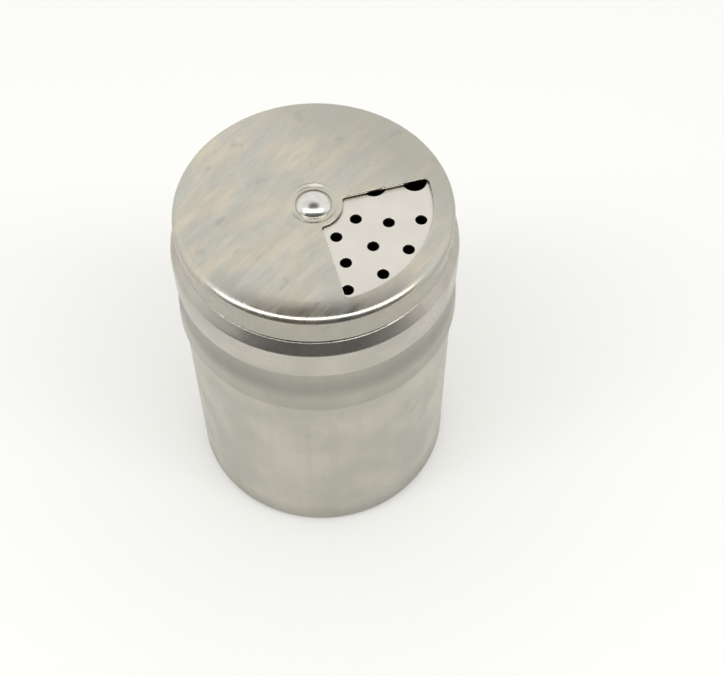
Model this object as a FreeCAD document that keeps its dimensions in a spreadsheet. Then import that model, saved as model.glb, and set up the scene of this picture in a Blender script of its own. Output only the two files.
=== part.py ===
import FreeCAD, Part
import math
import os
from types import SimpleNamespace

import Sketcher

# A stainless steel spice shaker, in millimetres, +Z up.  The origin is the middle of the can's
# foot, on the surface that it stands on.  The can holds the spice.  A stepped sifter cap pushes
# over its neck, and a cover turns on a rivet above the cap's plate, so that its window shows one
# quarter of the plate at a time: small holes, large holes, a pour opening, or plain metal.

DIMENSIONS = (
    ("sheet", 0.5, "thickness of every drawn sheet"),
    ("can_radius", 30.85, "outside of the can's wall and neck"),
    ("base_corner", 2.0, "outside radius of the corner round the foot"),
    ("recess_radius", 24.6, "flat panel inside the foot ring"),
    ("recess_slope", 1.0, "width of the slope from the panel to the foot ring"),
    ("recess_depth", 0.8, "height of the panel above the foot ring"),
    ("recess_soften", 0.4, "radius of the bends beside that slope"),
    ("swell_low", 54.7, "where the swelling below the neck starts, at its underside"),
    ("swell_edge", 56.0, "height of its widest edge"),
    ("swell_radius", 31.7, "outside of that edge"),
    ("shoulder_height", 59.2, "where the slight slope above that edge ends"),
    ("shoulder_radius", 31.5, "outside at that height"),
    ("swell_top", 68.0, "where its long upper side runs out into the neck"),
    ("swell_soften", 0.8, "radius of the bends at its lower side"),
    ("mouth_height", 77.0, "top of the can's curled mouth"),
    ("mouth_curl", 1.0, "outside radius of that curl"),
    ("plate_height", 87.05, "top face of the perforated plate"),
    ("plate_corner", 1.5, "outside radius round the plate"),
    ("drum_radius", 28.3, "outside of the cap's wall inside the cover"),
    ("drum_fold", 0.4, "radius of the fold where that wall meets the ledge"),
    ("ledge_height", 79.1, "top face of the cap's ledge"),
    ("ledge_end", 28.95, "radius where its level part ends"),
    ("ledge_corner", 0.6, "outside radius where it turns down there"),
    ("ledge_turn", 42.0, "degrees that the slope below it leans back from upright"),
    ("ledge_round", 1.5, "outside radius from that slope to the upright skirt"),
    ("skirt_radius", 31.4, "outside of the skirt that covers the neck"),
    ("skirt_low", 69.5, "lower edge of the skirt"),
    ("edge_soften", 0.15, "radius on the cut edges of the skirt and the cover"),
    ("rivet_seat", 1.52, "radius of the plate's middle hole"),
    ("small_hole", 1.25, "radius of a sifting hole"),
    ("small_ring_inner", 9.55, "ring of two sifting holes"),
    ("small_ring_middle", 16.4, "ring of three sifting holes"),
    ("small_ring_outer", 22.9, "ring of four sifting holes"),
    ("small_step_inner", 38.2, "degrees between the two holes"),
    ("small_step_middle", 24.8, "degrees between the three holes"),
    ("small_step_outer", 20.7, "degrees between the four holes"),
    ("large_hole", 2.6, "radius of a shaking hole"),
    ("large_ring_inner", 13.7, "ring of three shaking holes"),
    ("large_ring_outer", 22.4, "ring of four shaking holes"),
    ("large_step_inner", 27.0, "degrees between the three holes"),
    ("large_step_outer", 21.5, "degrees between the four holes"),
    ("pour_inner", 9.0, "inner edge of the pour opening"),
    ("pour_outer", 24.0, "outer edge of the pour opening"),
    ("pour_half", 33.0, "degrees from its middle to each side"),
    ("pour_corner", 2.0, "radius in its corners"),
    ("punched_lip", 0.15, "radius round the top of every opening in the plate"),
    ("cap_turn", -40.3, "degrees from +X to the middle of the sifting holes"),
    ("cover_radius", 30.0, "outside of the cover's wall"),
    ("cover_height", 88.0, "top face of the cover"),
    ("cover_low", 80.5, "lower edge of the cover's wall"),
    ("cover_flat", 23.4, "radius of the flat part of the cover's top"),
    ("cover_crown", 25.0, "radius of the curve that falls away outside it"),
    ("cover_corner", 2.0, "outside radius between the top and the wall"),
    ("boss_low", 87.1, "underside of the dished boss that bears on the plate"),
    ("boss_flat", 4.7, "radius of the boss's floor"),
    ("boss_edge", 5.5, "radius where the boss meets the flat top"),
    ("boss_soften", 0.4, "radius of the bends round the boss"),
    ("window_inner", 6.2, "inner edge of the window"),
    ("window_outer", 25.2, "outer edge of the window"),
    ("window_half", 45.0, "degrees from its middle to each side"),
    ("window_corner", 1.0, "radius in its corners"),
    ("window_lip", 0.25, "radius round the top of its edge"),
    ("cover_turn", -29.0, "degrees from +X to the middle of the window"),
    ("cover_bore", 1.56, "radius of the cover's middle hole"),
    ("shank_radius", 1.5, "radius of the rivet's shank"),
    ("head_radius", 3.9, "radius of the rivet's head"),
    ("head_low", 87.65, "underside of the head"),
    ("head_rim", 0.3, "height of the head's upright rim"),
    ("head_dome", 1.3, "rise of the dome above the rim"),
    ("head_soften", 0.2, "radius round the rim"),
    ("washer_radius", 4.0, "outside of the washer under the plate"),
    ("washer_bore", 1.6, "inside of that washer"),
    ("tail_radius", 2.6, "radius of the rivet's clinched tail"),
    ("tail_thick", 0.8, "thickness of the clinched tail"),
    ("tail_soften", 0.3, "radius round the clinched tail"),
)
SHEET_NAME = "dims"
QUARTER = 90.0
CLOSE_ENOUGH = 1e-4
LEFT = 1
RIGHT = -1


class Length:
    """A number together with the spreadsheet expression that it comes from."""

    def __init__(self, value, text):
        self.value = value
        self.text = text

    def combine(self, other, sign, work):
        if not isinstance(other, Length):
            other = Length(other, str(other))
        return Length(work(self.value, other.value), f"({self.text} {sign} {other.text})")

    def __add__(self, other):
        return self.combine(other, "+", lambda a, b: a + b)

    def __sub__(self, other):
        return self.combine(other, "-", lambda a, b: a - b)

    def __mul__(self, other):
        return self.combine(other, "*", lambda a, b: a * b)

    def __truediv__(self, other):
        return self.combine(other, "/", lambda a, b: a / b)

    def root(self):
        return Length(math.sqrt(self.value), f"sqrt({self.text})")

    def cosine(self):
        return Length(math.cos(math.radians(self.value)), f"cos({self.text})")

    def sine(self):
        return Length(math.sin(math.radians(self.value)), f"sin({self.text})")


ZERO = Length(0.0, "0")


def make_sheet(document):
    """Write the driving dimensions into a spreadsheet and return them as named lengths."""
    table = document.addObject("Spreadsheet::Sheet", SHEET_NAME)
    for row, (name, value, note) in enumerate(DIMENSIONS, start=1):
        table.set(f"A{row}", note)
        table.set(f"B{row}", str(value))
        table.setAlias(f"B{row}", name)
    document.recompute()
    lengths = {name: Length(value, f"{SHEET_NAME}.{name}") for name, value, note in DIMENSIONS}
    return SimpleNamespace(**lengths)


def origin_plane(body, role):
    return next(item for item in body.Origin.OriginFeatures if item.Role == role)


def new_sketch(body, name, role):
    sketch = body.newObject("Sketcher::SketchObject", name)
    sketch.AttachmentSupport = (origin_plane(body, role), [""])
    sketch.MapMode = "FlatFace"
    return sketch


def fix_value(sketch, constraint, length):
    """Add a dimension to a sketch and bind it to its spreadsheet expression."""
    index = sketch.addConstraint(constraint)
    sketch.setExpression(f"Constraints[{index}]", length.text)


def fix_point(sketch, edge, end, across, up):
    """Hold one point of a sketch at a place; a zero puts it on the axis instead."""
    for kind, axis, length in (("DistanceX", -2, across), ("DistanceY", -1, up)):
        if length is ZERO:
            sketch.addConstraint(Sketcher.Constraint("PointOnObject", edge, end, axis))
        else:
            fix_value(sketch, Sketcher.Constraint(kind, -1, 1, edge, end, length.value), length)


def arc_between(start, end, radius, side):
    """The shorter arc from start to end, with its centre on the given side of the way there."""
    chord = end - start
    reach = math.sqrt(max(radius ** 2 - (chord.Length / 2) ** 2, 0.0))
    across = FreeCAD.Vector(-chord.y, chord.x, 0).normalize() * (reach * side)
    centre = (start + end) * 0.5 + across
    first, last = (start, end) if side == LEFT else (end, start)
    angles = [math.atan2(point.y - centre.y, point.x - centre.x) for point in (first, last)]
    circle = Part.Circle(centre, FreeCAD.Vector(0, 0, 1), radius)
    return Part.ArcOfCircle(circle, angles[0], angles[1])


def add_outline(sketch, corners):
    """Draw a closed outline.

    A corner is (across, up), with a straight edge to the next corner, or (across, up, radius,
    side), with an arc of that radius to the next corner that bends to the LEFT or the RIGHT.
    """
    points = [FreeCAD.Vector(corner[0].value, corner[1].value, 0) for corner in corners]
    ends = []
    for number, corner in enumerate(corners):
        start = points[number]
        end = points[(number + 1) % len(points)]
        if len(corner) == 2:
            edge = sketch.addGeometry(Part.LineSegment(start, end), False)
            ends.append((edge, 1, 2))
            continue
        radius, side = corner[2:]
        edge = sketch.addGeometry(arc_between(start, end, radius.value, side), False)
        ends.append((edge, 1, 2) if side == LEFT else (edge, 2, 1))
    for number, (edge, start, end) in enumerate(ends):
        following = ends[(number + 1) % len(ends)]
        sketch.addConstraint(Sketcher.Constraint("Coincident", edge, end, following[0], following[1]))
    for (edge, start, end), corner in zip(ends, corners):
        fix_point(sketch, edge, start, corner[0], corner[1])
        if len(corner) > 2:
            fix_value(sketch, Sketcher.Constraint("Radius", edge, corner[2].value), corner[2])


def add_hole(sketch, across, up, radius):
    """Draw a circle, held at its centre."""
    centre = FreeCAD.Vector(across.value, up.value, 0)
    edge = sketch.addGeometry(Part.Circle(centre, FreeCAD.Vector(0, 0, 1), radius.value), False)
    fix_point(sketch, edge, 3, across, up)
    fix_value(sketch, Sketcher.Constraint("Radius", edge, radius.value), radius)


def turned_body(document, name, corners):
    """A body whose first feature is an outline in its XZ plane, turned about Z."""
    body = document.addObject("PartDesign::Body", name)
    body.Label = name
    sketch = new_sketch(body, f"{name}_section", "XZ_Plane")
    add_outline(sketch, corners)
    turned = body.newObject("PartDesign::Revolution", f"{name}_turned")
    turned.Profile = sketch
    turned.ReferenceAxis = (sketch, ["V_Axis"])
    turned.Angle = 360.0
    body.Tip = turned
    document.recompute()
    return body


def soften(body, name, radius, edges):
    """Round some edges of the body's latest feature."""
    if not edges:
        raise RuntimeError(f"{name} found no edges")
    base = body.Tip
    fillet = body.newObject("PartDesign::Fillet", name)
    fillet.Base = (base, edges)
    fillet.setExpression("Radius", radius.text)
    body.Tip = fillet
    body.Document.recompute()


def rings_at(body, places):
    """Names of the circular edges about Z that pass through the given (radius, height) places."""
    names = []
    for number, edge in enumerate(body.Tip.Shape.Edges, start=1):
        if edge.Degenerated or not isinstance(edge.Curve, Part.Circle):
            continue
        for radius, height in places:
            misses = (edge.Curve.Radius - radius.value, edge.Curve.Center.z - height.value)
            if max(abs(miss) for miss in misses) < CLOSE_ENOUGH:
                names.append(f"Edge{number}")
    return names


def uprights_at(body, radii):
    """Names of the upright edges that stand at the given distances from the axis."""
    names = []
    for number, edge in enumerate(body.Tip.Shape.Edges, start=1):
        ends = [vertex.Point for vertex in edge.Vertexes]
        if len(ends) != 2 or math.hypot(ends[0].x - ends[1].x, ends[0].y - ends[1].y) > CLOSE_ENOUGH:
            continue
        distance = math.hypot(ends[0].x, ends[0].y)
        if any(abs(distance - radius.value) < CLOSE_ENOUGH for radius in radii):
            names.append(f"Edge{number}")
    return names


def punched_edges(body, lowest, inner, outer, skipped):
    """Names of the edges above a height and within a ring, except the circles about Z of one radius."""
    names = []
    for number, edge in enumerate(body.Tip.Shape.Edges, start=1):
        places = [vertex.Point for vertex in edge.Vertexes]
        reach = [math.hypot(place.x, place.y) for place in places]
        if min(place.z for place in places) < lowest.value - CLOSE_ENOUGH:
            continue
        if min(reach) < inner.value - CLOSE_ENOUGH or max(reach) > outer.value + CLOSE_ENOUGH:
            continue
        if isinstance(edge.Curve, Part.Circle) and abs(edge.Curve.Radius - skipped.value) < CLOSE_ENOUGH:
            continue
        names.append(f"Edge{number}")
    return names


def cut_through(body, sketch, name):
    """Cut a sketch in the XY plane upwards through the body, and check that it removes metal."""
    before = body.Tip.Shape.Volume
    pocket = body.newObject("PartDesign::Pocket", name)
    pocket.Profile = sketch
    pocket.Type = "ThroughAll"
    pocket.Reversed = True
    body.Tip = pocket
    body.Document.recompute()
    if pocket.Shape.Volume > before - CLOSE_ENOUGH:
        raise RuntimeError(f"{name} cut nothing")


def polar(radius, angle):
    return radius * angle.cosine(), radius * angle.sine()


def add_hole_ring(sketch, middle, count, step, ring, radius):
    """Holes evenly spaced on a ring, centred on the direction middle, in degrees."""
    for number in range(count):
        angle = step * (number - (count - 1) / 2) + middle
        add_hole(sketch, *polar(ring, angle), radius)


def add_sector(sketch, middle, half, inner, outer):
    """A ring-shaped sector, centred on the direction middle, in degrees."""
    low = half * -1 + middle
    high = half + middle
    add_outline(sketch, [
        polar(inner, low),
        (*polar(outer, low), outer, LEFT),
        polar(outer, high),
        (*polar(inner, high), inner, RIGHT),
    ])


def make_can(document, size):
    """Deep-drawn can with a recessed base, a swelling below its neck and a mouth curled inwards.

    The swelling runs out upwards into the neck in an S of two equal arcs, of radius swell_ease.
    """
    foot = size.recess_radius + size.recess_slope
    inside = size.can_radius - size.sheet
    curl_middle = size.mouth_height - size.mouth_curl
    curl_axis = size.can_radius - size.mouth_curl
    curl_inner = size.mouth_curl - size.sheet
    swell_out = size.shoulder_radius - size.can_radius
    swell_up = size.swell_top - size.shoulder_height
    swell_ease = (swell_out * swell_out + swell_up * swell_up) / swell_out / 4
    ease_radius = size.can_radius + swell_out / 2
    ease_level = size.shoulder_height + swell_up / 2
    body = turned_body(document, "body_can", [
        (ZERO, size.recess_depth),
        (size.recess_radius, size.recess_depth),
        (foot, ZERO),
        (size.can_radius - size.base_corner, ZERO, size.base_corner, LEFT),
        (size.can_radius, size.base_corner),
        (size.can_radius, size.swell_low),
        (size.swell_radius, size.swell_edge),
        (size.shoulder_radius, size.shoulder_height, swell_ease, LEFT),
        (ease_radius, ease_level, swell_ease, RIGHT),
        (size.can_radius, size.swell_top),
        (size.can_radius, curl_middle, size.mouth_curl, LEFT),
        (curl_axis, size.mouth_height, size.mouth_curl, LEFT),
        (curl_axis - size.mouth_curl, curl_middle, size.mouth_curl, LEFT),
        (curl_axis, curl_middle - size.mouth_curl),
        (curl_axis, curl_middle - curl_inner, curl_inner, RIGHT),
        (curl_axis - curl_inner, curl_middle, curl_inner, RIGHT),
        (curl_axis, curl_middle + curl_inner, curl_inner, RIGHT),
        (inside, curl_middle),
        (inside, size.swell_top, swell_ease, LEFT),
        (ease_radius - size.sheet, ease_level, swell_ease, RIGHT),
        (size.shoulder_radius - size.sheet, size.shoulder_height),
        (size.swell_radius - size.sheet, size.swell_edge),
        (inside, size.swell_low),
        (inside, size.base_corner, size.base_corner - size.sheet, RIGHT),
        (size.can_radius - size.base_corner, size.sheet),
        (foot, size.sheet),
        (size.recess_radius, size.recess_depth + size.sheet),
        (ZERO, size.recess_depth + size.sheet),
    ])
    soften(body, "recess_bends", size.recess_soften, rings_at(body, [
        (size.recess_radius, size.recess_depth),
        (foot, ZERO),
        (foot, size.sheet),
        (size.recess_radius, size.recess_depth + size.sheet),
    ]))
    soften(body, "swell_bends", size.swell_soften, rings_at(body, [
        (size.can_radius, size.swell_low),
        (size.swell_radius, size.swell_edge),
        (inside, size.swell_low),
        (size.swell_radius - size.sheet, size.swell_edge),
    ]))
    return body


def make_cap(document, size):
    """Stepped cap: a perforated plate, a drum inside the cover, a ledge and the skirt below it."""
    plate_under = size.plate_height - size.sheet
    corner_axis = size.drum_radius - size.plate_corner
    corner_level = size.plate_height - size.plate_corner
    fold_axis = size.drum_radius + size.drum_fold
    fold_level = size.ledge_height + size.drum_fold
    bend_level = size.ledge_height - size.ledge_corner
    round_axis = size.skirt_radius - size.ledge_round
    across = (size.ledge_end - round_axis) * size.ledge_turn.cosine()
    round_level = bend_level + (across - size.ledge_round + size.ledge_corner) / size.ledge_turn.sine()
    round_under = size.ledge_round - size.sheet
    skirt_inside = size.skirt_radius - size.sheet

    def on_slope(axis, level, radius):
        across, up = polar(radius, size.ledge_turn)
        return axis + across, level + up

    body = turned_body(document, "sifter_cap", [
        (size.rivet_seat, plate_under),
        (corner_axis, plate_under, size.plate_corner - size.sheet, RIGHT),
        (size.drum_radius - size.sheet, corner_level),
        (size.drum_radius - size.sheet, fold_level, size.drum_fold + size.sheet, LEFT),
        (fold_axis, size.ledge_height - size.sheet),
        (size.ledge_end, size.ledge_height - size.sheet, size.ledge_corner - size.sheet, RIGHT),
        on_slope(size.ledge_end, bend_level, size.ledge_corner - size.sheet),
        (*on_slope(round_axis, round_level, round_under), round_under, RIGHT),
        (skirt_inside, round_level),
        (skirt_inside, size.skirt_low),
        (size.skirt_radius, size.skirt_low),
        (size.skirt_radius, round_level, size.ledge_round, LEFT),
        on_slope(round_axis, round_level, size.ledge_round),
        (*on_slope(size.ledge_end, bend_level, size.ledge_corner), size.ledge_corner, LEFT),
        (size.ledge_end, size.ledge_height),
        (fold_axis, size.ledge_height, size.drum_fold, RIGHT),
        (size.drum_radius, fold_level),
        (size.drum_radius, corner_level, size.plate_corner, LEFT),
        (corner_axis, size.plate_height),
        (size.rivet_seat, size.plate_height),
    ])
    soften(body, "skirt_edge", size.edge_soften, rings_at(body, [
        (skirt_inside, size.skirt_low),
        (size.skirt_radius, size.skirt_low),
    ]))
    holes = new_sketch(body, "sifter_holes", "XY_Plane")
    add_hole_ring(holes, 0.0, 2, size.small_step_inner, size.small_ring_inner, size.small_hole)
    add_hole_ring(holes, 0.0, 3, size.small_step_middle, size.small_ring_middle, size.small_hole)
    add_hole_ring(holes, 0.0, 4, size.small_step_outer, size.small_ring_outer, size.small_hole)
    add_hole_ring(holes, QUARTER, 3, size.large_step_inner, size.large_ring_inner, size.large_hole)
    add_hole_ring(holes, QUARTER, 4, size.large_step_outer, size.large_ring_outer, size.large_hole)
    cut_through(body, holes, "holes_punched")
    opening = new_sketch(body, "pour_outline", "XY_Plane")
    add_sector(opening, 2 * QUARTER, size.pour_half, size.pour_inner, size.pour_outer)
    cut_through(body, opening, "pour_punched")
    soften(body, "pour_corners", size.pour_corner, uprights_at(body, (size.pour_inner, size.pour_outer)))
    innermost = size.small_ring_inner - size.small_hole
    rims = punched_edges(body, size.plate_height, innermost, corner_axis, corner_axis)
    soften(body, "punched_lips", size.punched_lip, rims)
    body.setExpression("Placement.Rotation.Angle", f"{size.cap_turn.text} * 1deg")
    return body


def make_cover(document, size):
    """Shallow turning cover with a dished boss, a crowned top, a short wall and a window."""
    crown_level = size.cover_height - size.cover_crown
    corner_axis = size.cover_radius - size.cover_corner
    across = corner_axis - size.cover_flat
    between = size.cover_crown - size.cover_corner
    rise = (between * between - across * across).root()
    corner_level = crown_level + rise
    crown_under = size.cover_crown - size.sheet
    cover_inside = size.cover_radius - size.sheet
    top_under = size.cover_height - size.sheet
    boss_high = size.boss_low + size.sheet

    def where_curves_meet(radius):
        return size.cover_flat + radius * across / between, crown_level + radius * rise / between

    body = turned_body(document, "rotating_cover", [
        (size.cover_bore, size.boss_low),
        (size.boss_flat, size.boss_low),
        (size.boss_edge, top_under),
        (size.cover_flat, top_under, crown_under, RIGHT),
        (*where_curves_meet(crown_under), size.cover_corner - size.sheet, RIGHT),
        (cover_inside, corner_level),
        (cover_inside, size.cover_low),
        (size.cover_radius, size.cover_low),
        (size.cover_radius, corner_level, size.cover_corner, LEFT),
        (*where_curves_meet(size.cover_crown), size.cover_crown, LEFT),
        (size.cover_flat, size.cover_height),
        (size.boss_edge, size.cover_height),
        (size.boss_flat, boss_high),
        (size.cover_bore, boss_high),
    ])
    soften(body, "boss_bends", size.boss_soften, rings_at(body, [
        (size.boss_flat, size.boss_low),
        (size.boss_edge, top_under),
        (size.boss_edge, size.cover_height),
        (size.boss_flat, boss_high),
    ]))
    soften(body, "cover_edge", size.edge_soften, rings_at(body, [
        (cover_inside, size.cover_low),
        (size.cover_radius, size.cover_low),
    ]))
    window = new_sketch(body, "window_outline", "XY_Plane")
    add_sector(window, 0.0, size.window_half, size.window_inner, size.window_outer)
    cut_through(body, window, "window_punched")
    corners = uprights_at(body, (size.window_inner, size.window_outer))
    soften(body, "window_corners", size.window_corner, corners)
    above_middle = size.cover_height - size.sheet / 2
    rims = punched_edges(body, above_middle, size.window_inner, size.window_outer, size.cover_flat)
    soften(body, "window_lip", size.window_lip, rims)
    body.setExpression("Placement.Rotation.Angle", f"{size.cover_turn.text} * 1deg")
    return body


def make_rivet(document, size):
    """Domed rivet, its shank, and its tail clinched over the washer."""
    rim_high = size.head_low + size.head_rim
    rise = size.head_dome
    dome_radius = (size.head_radius * size.head_radius + rise * rise) / rise / 2
    tail_high = size.plate_height - size.sheet - size.sheet
    tail_low = tail_high - size.tail_thick
    body = turned_body(document, "centre_rivet", [
        (ZERO, tail_low),
        (size.tail_radius, tail_low),
        (size.tail_radius, tail_high),
        (size.shank_radius, tail_high),
        (size.shank_radius, size.head_low),
        (size.head_radius, size.head_low),
        (size.head_radius, rim_high, dome_radius, LEFT),
        (ZERO, rim_high + rise),
    ])
    soften(body, "head_edge", size.head_soften, rings_at(body, [(size.head_radius, rim_high)]))
    soften(body, "tail_edge", size.tail_soften, rings_at(body, [
        (size.tail_radius, tail_low),
        (size.tail_radius, tail_high),
    ]))
    return body


def make_washer(document, size):
    """Flat washer between the plate and the rivet's tail."""
    high = size.plate_height - size.sheet
    low = high - size.sheet
    return turned_body(document, "rivet_washer", [
        (size.washer_bore, low),
        (size.washer_radius, low),
        (size.washer_radius, high),
        (size.washer_bore, high),
    ])


def check_document(document, bodies):
    """Stop if anything in the document failed or a body isn't one sound solid."""
    for item in document.Objects:
        faults = [state for state in item.State if state in ("Invalid", "Error")]
        if faults:
            raise RuntimeError(f"{item.Name} is {faults}")
    for body in bodies:
        if body.Shape.isNull() or not body.Shape.isValid() or len(body.Shape.Solids) != 1:
            raise RuntimeError(f"{body.Label} has no sound shape")


def main():
    document = FreeCAD.newDocument("spice_shaker")
    size = make_sheet(document)
    makers = (make_can, make_cap, make_cover, make_rivet, make_washer)
    bodies = [make(document, size) for make in makers]
    document.recompute()
    check_document(document, bodies)
    os.makedirs("parts", exist_ok=True)
    for body in bodies:
        body.Shape.exportStep(f"parts/{body.Label}.step")
        box = body.Shape.BoundBox
        reach = f"z {box.ZMin:.2f} to {box.ZMax:.2f}, width {box.XLength:.2f}"
        print(f"{body.Label}: {body.Shape.Volume:.1f} mm3, {reach}")


main()
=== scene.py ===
import math

import bpy
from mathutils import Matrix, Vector


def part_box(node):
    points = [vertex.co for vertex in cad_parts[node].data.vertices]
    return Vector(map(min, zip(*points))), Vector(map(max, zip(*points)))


# A stainless steel spice shaker on a pale floor, in metres, +Z up.  The shapes of its sub-parts
# come from the CAD frame; here each gets its own worn steel.

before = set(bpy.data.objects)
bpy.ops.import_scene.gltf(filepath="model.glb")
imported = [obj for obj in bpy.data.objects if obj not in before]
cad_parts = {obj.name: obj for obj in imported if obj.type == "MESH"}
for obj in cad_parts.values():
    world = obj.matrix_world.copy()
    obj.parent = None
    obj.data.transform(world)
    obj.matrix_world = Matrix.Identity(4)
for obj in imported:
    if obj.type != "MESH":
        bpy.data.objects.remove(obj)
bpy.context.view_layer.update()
scene = bpy.context.scene

# Camera: straight at the tin's right half, from above its front.
AIM = Vector((0.0102, 0.0, 0.0366))
CAMERA_DISTANCE = 0.3265
CAMERA_ELEVATION = math.radians(56.53)
LENS = 67.13
SENSOR = 36.0

# Where the steel's colour changes: the underside of the can's swelling, above which a band of shade is
# painted, how far up its foot is painted dark as shade, the height of the cover's rounded corner,
# below which its wall is painted darker as shade, the way the cover is brushed, and the way a painted
# shade falls across one side of it.
SWELL_LOW = 0.0547
FOOT_HIGH = 0.009
COVER_CORNER = 0.0020
COVER_BRUSHED = math.radians(50)
COVER_SHADE_WAY = (0.62, 0.78, 0.0)

# Shared by all the steels: the roughness of the noise in their grain, the cosine between the
# rounded and the true normal where an edge starts to look worn and where it is wholly worn, and
# the samples that round it.
GRAIN_ROUGHNESS = 0.55
WEAR_STARTS = 0.995
WEAR_FULL = 0.90
BEVEL_SAMPLES = 6

# Light: a pale tent that is dark overhead and towards the front, with one soft strip light
# above the front and a fainter glow low at the left front.  STARTS and FULL are how far up, or to
# the front, a unit direction reaches where the tent starts to darken and where it is at its LEVEL.
BACKDROP = (0.956, 0.956, 0.93, 1)
TENT_COLOUR = (1.0, 0.995, 0.975, 1)
TENT_DARK = (0, 0, 0, 1)
OVERHEAD_STARTS = 0.89
OVERHEAD_FULL = 0.955
OVERHEAD_LEVEL = 0.10
FRONT_STARTS = 0.10
FRONT_FULL = 0.60
FRONT_LEVEL = 0.11
STRIP_DISTANCE = 1.1
STRIP_ELEVATION = math.radians(66)
STRIP_WIDTH = 2.6
STRIP_DEPTH = 0.40
STRIP_POWER = 11.0
GLOW_DISTANCE = 0.9
GLOW_ELEVATION = math.radians(28)
GLOW_TURN = math.radians(-60)
GLOW_SIZE = 0.22
GLOW_POWER = 0.15

# Floor: a matt pale sheet that gives off a little light of its own.
FLOOR_REACH = 3.0
FLOOR_COLOUR = (0.79, 0.79, 0.77, 1)
FLOOR_GLOW = (0.15, 0.15, 0.147, 1)
FLOOR_ROUGHNESS = 0.9
FLOOR_SHINE = 0.1


class Graph:
    """A node tree in the making: node() adds any node, the others give the output of what they add."""

    def __init__(self, tree):
        self.tree = tree

    def node(self, kind, inputs, **settings):
        """Add a node whose inputs are values, or the outputs that feed them."""
        made = self.tree.nodes.new(kind)
        for name, value in settings.items():
            setattr(made, name, value)
        for key, value in inputs.items():
            if isinstance(value, bpy.types.NodeSocket):
                self.tree.links.new(value, made.inputs[key])
            else:
                made.inputs[key].default_value = value
        return made

    def calculate(self, operation, first, second):
        return self.node("ShaderNodeMath", {0: first, 1: second}, operation=operation).outputs[0]

    def measure(self, operation, first, second=(0.0, 0.0, 0.0)):
        """The number that an operation on one or two vectors gives."""
        made = self.node("ShaderNodeVectorMath", {0: first, 1: second}, operation=operation)
        return made.outputs["Value"]

    def spread(self, value, low, high, start=0.0, end=1.0):
        """Map low to high smoothly onto start to end."""
        made = self.node("ShaderNodeMapRange", {
            "Value": value, "From Min": low, "From Max": high, "To Min": start, "To Max": end,
        }, interpolation_type="SMOOTHSTEP")
        return made.outputs["Result"]

    def parts(self, vector):
        """A vector's X, Y and Z."""
        return self.node("ShaderNodeSeparateXYZ", {0: vector}).outputs

    def blend(self, factor, first, second):
        """The first colour where factor is zero, the second where it is one."""
        made = self.node("ShaderNodeMixRGB", {"Fac": factor, "Color1": first, "Color2": second})
        return made.outputs["Color"]

    def tint(self, colour, mask, strength, other):
        """Colour, taken towards other by strength where mask is one."""
        return self.blend(self.calculate("MULTIPLY", mask, strength), colour, other)


class Steel(Graph):
    """Steel with its grain, colour patches, smudges and bumps."""

    def __init__(self, name):
        self.material = bpy.data.materials.new(name)
        self.material.use_nodes = True
        super().__init__(self.material.node_tree)
        self.shader = self.tree.nodes["Principled BSDF"]
        self.shader.inputs["Metallic"].default_value = 1.0
        self.place = self.node("ShaderNodeTexCoord", {}).outputs["Object"]
        self.normal = None

    def height(self):
        return self.parts(self.place)["Z"]

    def grain(self, size, turn=0.0, detail=3.0, shift=(0.0, 0.0, 0.0)):
        """Noise whose patches measure size, in metres along X, Y and Z, turned about Z by turn."""
        placed = self.node("ShaderNodeMapping", {
            "Vector": self.place, "Location": shift, "Rotation": (0.0, 0.0, turn), "Scale": size,
        }, vector_type="TEXTURE")
        made = self.node("ShaderNodeTexNoise", {
            "Vector": placed.outputs[0], "Scale": 1.0, "Detail": detail, "Roughness": GRAIN_ROUGHNESS,
        })
        return made.outputs[0]

    def rim(self, reach):
        """One where a sharp edge lies within reach, in metres, zero on open sheet."""
        rounded = self.node("ShaderNodeBevel", {"Radius": reach}, samples=BEVEL_SAMPLES).outputs[0]
        flat = self.node("ShaderNodeNewGeometry", {}).outputs["Normal"]
        return self.spread(self.measure("DOT_PRODUCT", rounded, flat), WEAR_STARTS, WEAR_FULL)

    def bump(self, height, depth):
        """Raise the surface by height times depth, in metres, on top of the bumps so far."""
        inputs = {"Height": height, "Distance": depth, "Strength": 1.0}
        if self.normal is not None:
            inputs["Normal"] = self.normal
        self.normal = self.node("ShaderNodeBump", inputs).outputs[0]

    def finish(self, colour, roughness):
        self.tree.links.new(colour, self.shader.inputs["Base Color"])
        self.tree.links.new(roughness, self.shader.inputs["Roughness"])
        self.tree.links.new(self.normal, self.shader.inputs["Normal"])
        return self.material


def evenly(size):
    return (size, size, size)


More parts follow.
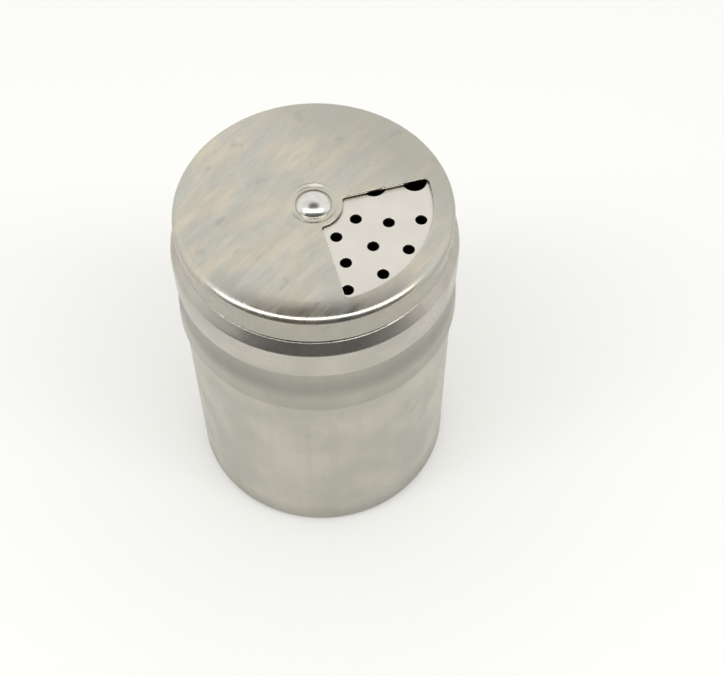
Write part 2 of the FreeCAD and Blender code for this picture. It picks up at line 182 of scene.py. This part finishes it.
def cover_steel(wall_top):
    """Sheet brushed straight across, with cool patches, painted shade on its back right side, smudges,
    and a turned wall painted darker as shade; its edges are lightened as wear and as a painted
    highlight.
    """
    straw = (0.645, 0.585, 0.48, 1)
    cool_grey = (0.535, 0.53, 0.48, 1)
    brushed_grey = (0.51, 0.495, 0.44, 1)
    pale_stroke = (0.70, 0.66, 0.57, 1)
    side_shade_grey = (0.44, 0.43, 0.375, 1)
    smudge_grey = (0.36, 0.355, 0.33, 1)
    wall_shade_grey = (0.35, 0.335, 0.29, 1)
    lightened_edge = (0.90, 0.88, 0.82, 1)

    steel = Steel("cover_steel")
    patches = steel.grain((0.011, 0.006, 0.008), COVER_BRUSHED, shift=(0.004, 0.001, 0.0))
    strokes = steel.grain((0.0045, 0.0005, 0.002), COVER_BRUSHED, detail=4.0)
    wide_strokes = steel.grain((0.012, 0.0022, 0.006), COVER_BRUSHED)
    smears = steel.grain((0.0055, 0.0035, 0.004), COVER_BRUSHED, detail=2.0, shift=(0.013, 0.0, 0.007))
    turned = steel.grain((0.04, 0.04, 0.0002), detail=2.0)
    waves = steel.grain(evenly(0.014), detail=1.0)
    # Painted shade: the cover darkens towards its back right side.
    side_shade = steel.spread(steel.measure("DOT_PRODUCT", steel.place, COVER_SHADE_WAY), 0.004, 0.026)
    # Painted shade: the wall below the cover's rounded corner is darker; the same mask also carries
    # the turned lines' bump.
    wall = steel.spread(steel.height(), wall_top + 0.001, wall_top)

    colour = steel.blend(steel.spread(patches, 0.38, 0.60), straw, cool_grey)
    colour = steel.tint(colour, steel.spread(wide_strokes, 0.35, 0.65), 0.55, brushed_grey)
    colour = steel.tint(colour, steel.spread(strokes, 0.4, 0.7), 0.25, pale_stroke)
    # Painted shade on the back right side.
    colour = steel.tint(colour, side_shade, 0.8, side_shade_grey)
    colour = steel.tint(colour, steel.spread(smears, 0.62, 0.74), 0.4, smudge_grey)
    # Painted shade on the wall.
    colour = steel.tint(colour, wall, 0.75, wall_shade_grey)
    # The edges are lightened partly as wear and partly as a painted highlight along the window's lip.
    colour = steel.tint(colour, steel.rim(0.0003), 0.85, lightened_edge)

    steel.bump(waves, 0.00004)
    steel.bump(strokes, 0.000006)
    steel.bump(steel.calculate("MULTIPLY", turned, wall), 0.000006)
    return steel.finish(colour, steel.spread(wide_strokes, 0.3, 0.7, 0.20, 0.30))


def cap_steel(cover_low, plate_top):
    """Bright annealed plate above, a satin ledge and skirt with fine turned lines below."""
    satin_straw = (0.51, 0.485, 0.43, 1)
    satin_grey = (0.455, 0.435, 0.39, 1)
    turned_line = (0.59, 0.565, 0.51, 1)
    bright_pale = (0.79, 0.76, 0.70, 1)
    bright_grey = (0.75, 0.725, 0.67, 1)
    lightened_edge = (0.84, 0.82, 0.77, 1)

    steel = Steel("cap_steel")
    mottle = steel.grain(evenly(0.008), detail=4.0)
    peel = steel.grain(evenly(0.00055), detail=2.0)
    turned = steel.grain((0.03, 0.03, 0.0003))
    waves = steel.grain(evenly(0.011), detail=1.0)
    plate = steel.spread(steel.height(), cover_low + 0.6 * (plate_top - cover_low), plate_top)

    satin = steel.blend(steel.spread(mottle, 0.35, 0.65), satin_straw, satin_grey)
    satin = steel.tint(satin, steel.spread(turned, 0.4, 0.7), 0.3, turned_line)
    bright = steel.blend(steel.spread(mottle, 0.3, 0.7), bright_pale, bright_grey)
    colour = steel.tint(steel.blend(plate, satin, bright), steel.rim(0.0002), 0.5, lightened_edge)
    duller = steel.calculate("MULTIPLY", plate, 0.08)
    roughness = steel.calculate("ADD", steel.spread(mottle, 0.3, 0.7, 0.26, 0.32), duller)

    steel.bump(waves, 0.00004)
    steel.bump(peel, 0.000008)
    steel.bump(turned, 0.000004)
    return steel.finish(colour, roughness)


def can_steel(swell_low, skirt_low):
    """Satin drawn wall, draw lines and mottling, with painted shade on the rolled swelling and at the
    foot.
    """
    satin_straw = (0.53, 0.505, 0.44, 1)
    satin_grey = (0.47, 0.45, 0.40, 1)
    draw_line = (0.44, 0.425, 0.375, 1)
    mark_grey = (0.37, 0.36, 0.32, 1)
    shade_grey = (0.26, 0.25, 0.22, 1)
    lightened_edge = (0.72, 0.70, 0.64, 1)

    steel = Steel("can_steel")
    drawn = steel.grain((0.0022, 0.0022, 0.09), detail=5.0)
    mottle = steel.grain(evenly(0.013), detail=4.0)
    marks = steel.grain((0.0065, 0.0065, 0.011), shift=(0.0, 0.021, 0.004))
    grit = steel.grain(evenly(0.0004), detail=2.0)
    waves = steel.grain(evenly(0.016), detail=1.0)

    height = steel.height()
    # Painted shade: the steel is darker from the swelling's underside upwards, deepest partway up to
    # the skirt and easing off towards it, and darker towards the foot.
    rolled_from = swell_low + 0.3 * (skirt_low - swell_low)
    rolled_to = swell_low + 0.6 * (skirt_low - swell_low)
    edge = steel.spread(height, swell_low - 0.0003, swell_low + 0.0003, 0.0, 0.35)
    rolled = steel.spread(height, rolled_from, rolled_to, 0.0, 0.42)
    eased = steel.spread(height, rolled_to, skirt_low, 0.0, 0.28)
    foot = steel.spread(height, FOOT_HIGH, 0.0, 0.0, 0.55)
    shade = steel.calculate("SUBTRACT", steel.calculate("ADD", edge, rolled), eased)
    shade = steel.calculate("ADD", shade, foot)

    colour = steel.blend(steel.spread(mottle, 0.35, 0.65), satin_straw, satin_grey)
    colour = steel.tint(colour, steel.spread(drawn, 0.42, 0.68), 0.4, draw_line)
    colour = steel.tint(colour, steel.spread(marks, 0.60, 0.76), 0.35, mark_grey)
    # The painted shade of the swelling band and the foot goes in here.
    colour = steel.blend(shade, colour, shade_grey)
    colour = steel.tint(colour, steel.rim(0.0004), 0.5, lightened_edge)

    steel.bump(waves, 0.00005)
    steel.bump(drawn, 0.00001)
    steel.bump(grit, 0.000003)
    return steel.finish(colour, steel.spread(mottle, 0.3, 0.7, 0.31, 0.41))


def rivet_steel(head_radius):
    """Polished head, pressed fuller towards its rim, with a few shallow dings and a worn rim."""
    polished = (0.74, 0.73, 0.69, 1)
    hazy = (0.64, 0.63, 0.59, 1)
    ding_grey = (0.45, 0.44, 0.41, 1)
    lightened_edge = (0.9, 0.89, 0.86, 1)

    steel = Steel("rivet_steel")
    haze = steel.grain(evenly(0.0025), detail=4.0)
    dings = steel.spread(steel.grain(evenly(0.0011), detail=2.0), 0.6, 0.75)
    waves = steel.grain(evenly(0.003), detail=1.0)
    across = steel.node("ShaderNodeVectorMath", {
        0: steel.place, 1: (1 / head_radius, 1 / head_radius, 0.0),
    }, operation="MULTIPLY")
    outward = steel.measure("LENGTH", across.outputs[0])
    fullness = steel.calculate("MULTIPLY", steel.calculate("POWER", outward, 4.0), -1.0)

    colour = steel.blend(steel.spread(haze, 0.4, 0.7), polished, hazy)
    colour = steel.tint(colour, dings, 0.25, ding_grey)
    colour = steel.tint(colour, steel.rim(0.0002), 0.4, lightened_edge)

    steel.bump(fullness, 0.00045)
    steel.bump(waves, 0.00005)
    steel.bump(dings, 0.000008)
    return steel.finish(colour, steel.spread(haze, 0.3, 0.7, 0.18, 0.26))


def washer_steel():
    """Plain stamped washer, dull and faintly scratched."""
    plain = (0.6, 0.585, 0.55, 1)
    plain_grey = (0.5, 0.49, 0.46, 1)
    lightened_edge = (0.8, 0.79, 0.76, 1)

    steel = Steel("washer_steel")
    mottle = steel.grain(evenly(0.002), detail=4.0)
    scratches = steel.grain((0.005, 0.0004, 0.005), math.radians(30))

    colour = steel.blend(steel.spread(mottle, 0.35, 0.65), plain, plain_grey)
    colour = steel.tint(colour, steel.rim(0.0002), 0.5, lightened_edge)

    steel.bump(scratches, 0.00001)
    return steel.finish(colour, steel.spread(mottle, 0.3, 0.7, 0.35, 0.5))


def clad(node, material):
    """Give a CAD node its steel."""
    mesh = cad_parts[node].data
    mesh.materials.clear()
    mesh.materials.append(material)


def add_camera():
    data = bpy.data.cameras.new("camera")
    data.lens = LENS
    data.sensor_width = SENSOR
    data.sensor_fit = "HORIZONTAL"
    camera = bpy.data.objects.new("camera", data)
    scene.collection.objects.link(camera)
    back = Vector((0.0, -math.cos(CAMERA_ELEVATION), math.sin(CAMERA_ELEVATION)))
    camera.location = AIM + CAMERA_DISTANCE * back
    camera.rotation_euler = (math.pi / 2 - CAMERA_ELEVATION, 0.0, 0.0)
    scene.camera = camera


def add_tent():
    """World light: pale at the sides and back, dark overhead and towards the front."""
    world = bpy.data.worlds.new("tent")
    world.use_nodes = True
    scene.world = world
    graph = Graph(world.node_tree)
    graph.tree.nodes.clear()
    way = graph.parts(graph.node("ShaderNodeTexCoord", {}).outputs["Generated"])
    forward = graph.calculate("MULTIPLY", way["Y"], -1.0)
    level = graph.calculate(
        "MULTIPLY",
        graph.spread(way["Z"], OVERHEAD_STARTS, OVERHEAD_FULL, 1.0, OVERHEAD_LEVEL),
        graph.spread(forward, FRONT_STARTS, FRONT_FULL, 1.0, FRONT_LEVEL),
    )
    tent = graph.node("ShaderNodeBackground", {
        "Color": graph.blend(level, TENT_DARK, TENT_COLOUR), "Strength": 1.0,
    })
    seen = graph.node("ShaderNodeBackground", {"Color": BACKDROP, "Strength": 1.0})
    mix = graph.node("ShaderNodeMixShader", {
        0: graph.node("ShaderNodeLightPath", {}).outputs["Is Camera Ray"],
        1: tent.outputs[0], 2: seen.outputs[0],
    })
    graph.node("ShaderNodeOutputWorld", {0: mix.outputs[0]})


def add_panel(name, width, depth, power, distance, elevation, turn):
    """A light panel facing the tin, from the front turned by turn about +Z."""
    data = bpy.data.lights.new(name, "AREA")
    data.shape = "RECTANGLE"
    data.size = width
    data.size_y = depth
    data.energy = power
    light = bpy.data.objects.new(name, data)
    scene.collection.objects.link(light)
    level = math.cos(elevation)
    way = Vector((math.sin(turn) * level, -math.cos(turn) * level, math.sin(elevation)))
    light.location = AIM + distance * way
    light.rotation_euler = way.to_track_quat("Z", "Y").to_euler()


def add_floor():
    mesh = bpy.data.meshes.new("floor")
    reach = FLOOR_REACH
    corners = [(-reach, -reach, 0), (reach, -reach, 0), (reach, reach, 0), (-reach, reach, 0)]
    mesh.from_pydata(corners, [], [(0, 1, 2, 3)])
    floor = bpy.data.objects.new("floor", mesh)
    scene.collection.objects.link(floor)
    material = bpy.data.materials.new("floor")
    material.use_nodes = True
    shader = material.node_tree.nodes["Principled BSDF"]
    shader.inputs["Base Color"].default_value = FLOOR_COLOUR
    shader.inputs["Roughness"].default_value = FLOOR_ROUGHNESS
    shader.inputs["Specular IOR Level"].default_value = FLOOR_SHINE
    shader.inputs["Emission Color"].default_value = FLOOR_GLOW
    shader.inputs["Emission Strength"].default_value = 1.0
    mesh.materials.append(material)


scene.view_settings.view_transform = "Standard"
skirt_low, plate_top = (corner.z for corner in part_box("sifter_cap"))
cover_low, cover_top = (corner.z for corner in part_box("rotating_cover"))
clad("body_can", can_steel(SWELL_LOW, skirt_low))
clad("sifter_cap", cap_steel(cover_low, plate_top))
clad("rotating_cover", cover_steel(cover_top - COVER_CORNER))
clad("centre_rivet", rivet_steel(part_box("centre_rivet")[1].x))
clad("rivet_washer", washer_steel())
add_camera()
add_tent()
add_panel("strip_light", STRIP_WIDTH, STRIP_DEPTH, STRIP_POWER, STRIP_DISTANCE, STRIP_ELEVATION, 0.0)
add_panel("glow_light", GLOW_SIZE, GLOW_SIZE, GLOW_POWER, GLOW_DISTANCE, GLOW_ELEVATION, GLOW_TURN)
add_floor()
